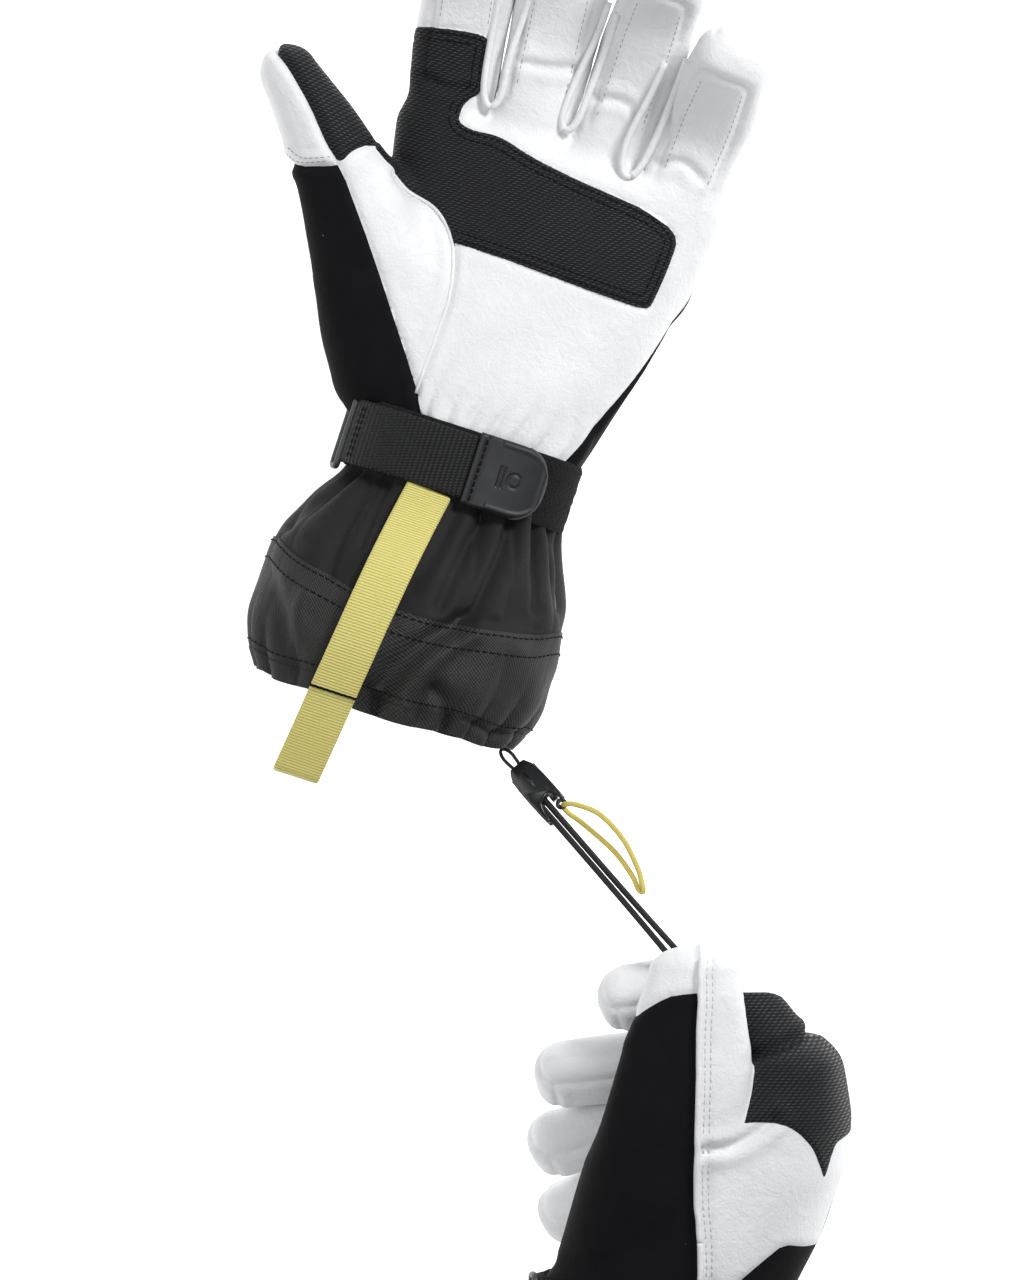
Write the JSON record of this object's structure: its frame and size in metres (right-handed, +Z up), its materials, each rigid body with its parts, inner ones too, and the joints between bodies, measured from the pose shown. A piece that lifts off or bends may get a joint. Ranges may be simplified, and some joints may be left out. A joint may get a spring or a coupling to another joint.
{
  "type": "insulated gauntlet gloves",
  "caption": "Pair of insulated leather gauntlet gloves for very cold work, with grip patches, wrist straps, webbing pullers and an elastic drawcord with a cord lock.",
  "frame": {"origin": "on the table under the middle of the pair's bounding box", "axes": "+Z up from the table; +Y roughly from the wrists to the fingertips of the left glove; +X towards its little finger side"},
  "size_m": [0.232, 0.6788, 0.1058],
  "materials": {
    "leather": "near-white fine-grained leather",
    "softshell": "black softshell",
    "grip": "dark grey three-dimensional grip weave",
    "cuff": "black plain-weave nylon",
    "cordura": "black heavy twill nylon",
    "lining": "dark brushed insulation lining",
    "webbing": "black ribbed webbing",
    "loop": "black napped loop fabric",
    "hook": "black moulded hook tape",
    "yellow": "yellow ribbed webbing",
    "rubber": "charcoal matt rubber",
    "plastic": "glossy black moulded plastic",
    "ring": "grey moulded plastic",
    "cord": "black braided elastic cord",
    "thread": "black bar-tack thread"
  },
  "bodies": {
    "left_hand": {"left_palm_panel": "leather", "left_back_panel": "softshell", "left_palm_patch": "grip", "left_liner": "lining", "left_cuff_upper": "cuff", "left_cuff_lower": "cordura", "left_cuff_hem": "cordura", "left_wrist_band": "loop", "left_strap_ring": "ring", "left_ring_keeper": "webbing", "left_lock_body": "plastic", "left_lock_anchor": "webbing", "left_drawcord": "cord"},
    "right_hand": {"right_palm_panel": "leather", "right_back_panel": "softshell", "right_palm_patch": "grip", "right_liner": "lining", "right_cuff_upper": "cuff", "right_cuff_lower": "cordura", "right_cuff_hem": "cordura", "right_wrist_band": "loop", "right_strap_ring": "ring", "right_ring_keeper": "webbing"},
    "left_index": {"left_index_finger": "leather", "left_index_patch": "grip"},
    "left_middle": {"left_middle_finger": "leather"},
    "left_ring": {"left_ring_finger": "leather"},
    "left_little": {"left_little_finger": "leather"},
    "left_thumb": {"left_thumb": "leather", "left_thumb_cap": "leather", "left_thumb_patch": "grip"},
    "left_strap": {"left_strap": "webbing", "left_strap_tab": "rubber", "left_hook_patch": "hook"},
    "left_puller": {"left_puller": "yellow", "left_puller_bartack": "thread"},
    "right_index": {"right_index_finger": "leather"},
    "right_middle": {"right_middle_finger": "leather"},
    "right_ring": {"right_ring_finger": "leather"},
    "right_little": {"right_little_finger": "leather"},
    "right_thumb": {"right_thumb": "leather", "right_thumb_cap": "leather", "right_thumb_patch": "grip"},
    "right_strap": {"right_strap": "webbing", "right_strap_tab": "rubber", "right_hook_patch": "hook"},
    "right_puller": {"right_puller": "yellow", "right_puller_bartack": "thread"},
    "lock_release": {"left_lock_wedge": "plastic", "left_lock_pull": "yellow"}
  },
  "joints": [
    {"name": "cord_pull", "type": "slide", "parent": "left_hand", "child": "right_hand", "axis": [0.6586, -0.7524, 0], "range_m": [0, 0.035], "deforming": ["left_drawcord"]},
    {"name": "left_index_bend", "type": "hinge", "parent": "left_hand", "child": "left_index", "pos_m": [-0.03978, 0.25202, 0.0248], "axis": [0.9903, -0.1392, 0], "range_deg": [-8, 50]},
    {"name": "left_middle_bend", "type": "hinge", "parent": "left_hand", "child": "left_middle", "pos_m": [-0.0073, 0.24778, 0.0248], "axis": [0.9681, -0.2504, 0], "range_deg": [-8, 50]},
    {"name": "left_ring_bend", "type": "hinge", "parent": "left_hand", "child": "left_ring", "pos_m": [0.02097, 0.23544, 0.0248], "axis": [0.9285, -0.3714, 0], "range_deg": [-8, 50]},
    {"name": "left_little_bend", "type": "hinge", "parent": "left_hand", "child": "left_little", "pos_m": [0.04638, 0.21561, 0.0248], "axis": [0.9245, -0.3811, 0], "range_deg": [-8, 50]},
    {"name": "left_thumb_bend", "type": "hinge", "parent": "left_hand", "child": "left_thumb", "pos_m": [-0.0617, 0.17292, 0.0298], "axis": [0.9263, 0.3768, 0], "range_deg": [0, 30]},
    {"name": "right_index_bend", "type": "hinge", "parent": "right_hand", "child": "right_index", "pos_m": [0.09067, -0.10941, 0.0688], "axis": [0.1502, 0.6309, 0.7611], "range_deg": [-30, 0]},
    {"name": "right_middle_bend", "type": "hinge", "parent": "right_hand", "child": "right_middle", "pos_m": [0.09227, -0.12591, 0.05], "axis": [0.1502, 0.6309, 0.7611], "range_deg": [-30, 0]},
    {"name": "right_ring_bend", "type": "hinge", "parent": "right_hand", "child": "right_ring", "pos_m": [0.08827, -0.14141, 0.0308], "axis": [0.1502, 0.6309, 0.7611], "range_deg": [-30, 0]},
    {"name": "right_little_bend", "type": "hinge", "parent": "right_hand", "child": "right_little", "pos_m": [0.07927, -0.15741, 0.0133], "axis": [0.1502, 0.6309, 0.7611], "range_deg": [-30, 0]},
    {"name": "right_thumb_bend", "type": "hinge", "parent": "right_hand", "child": "right_thumb", "pos_m": [0.03927, -0.17641, 0.0668], "axis": [1, 0, 0], "range_deg": [0, 25]},
    {"name": "left_strap_peel", "type": "hinge", "parent": "left_hand", "child": "left_strap", "pos_m": [-0.0773, 0.13383, 0.04175], "axis": [-0.309, -0.9511, 0], "range_deg": [0, 100]},
    {"name": "left_puller_lift", "type": "hinge", "parent": "left_hand", "child": "left_puller", "pos_m": [-0.04744, 0.10678, 0.0573], "axis": [-0.9511, 0.309, 0], "range_deg": [0, 95]},
    {"name": "right_strap_peel", "type": "hinge", "parent": "right_hand", "child": "right_strap", "pos_m": [-0.00429, -0.20641, 0.07147], "axis": [0, -1, 0], "range_deg": [0, 100]},
    {"name": "right_puller_lift", "type": "hinge", "parent": "right_hand", "child": "right_puller", "pos_m": [0.05627, -0.22291, 0.092], "axis": [-1, 0, 0], "range_deg": [0, 95]},
    {"name": "lock_release", "type": "slide", "parent": "left_hand", "child": "lock_release", "axis": [0.6319, -0.7219, 0.282], "range_m": [0, 0.004], "stiffness_N_per_m": 80}
  ]
}
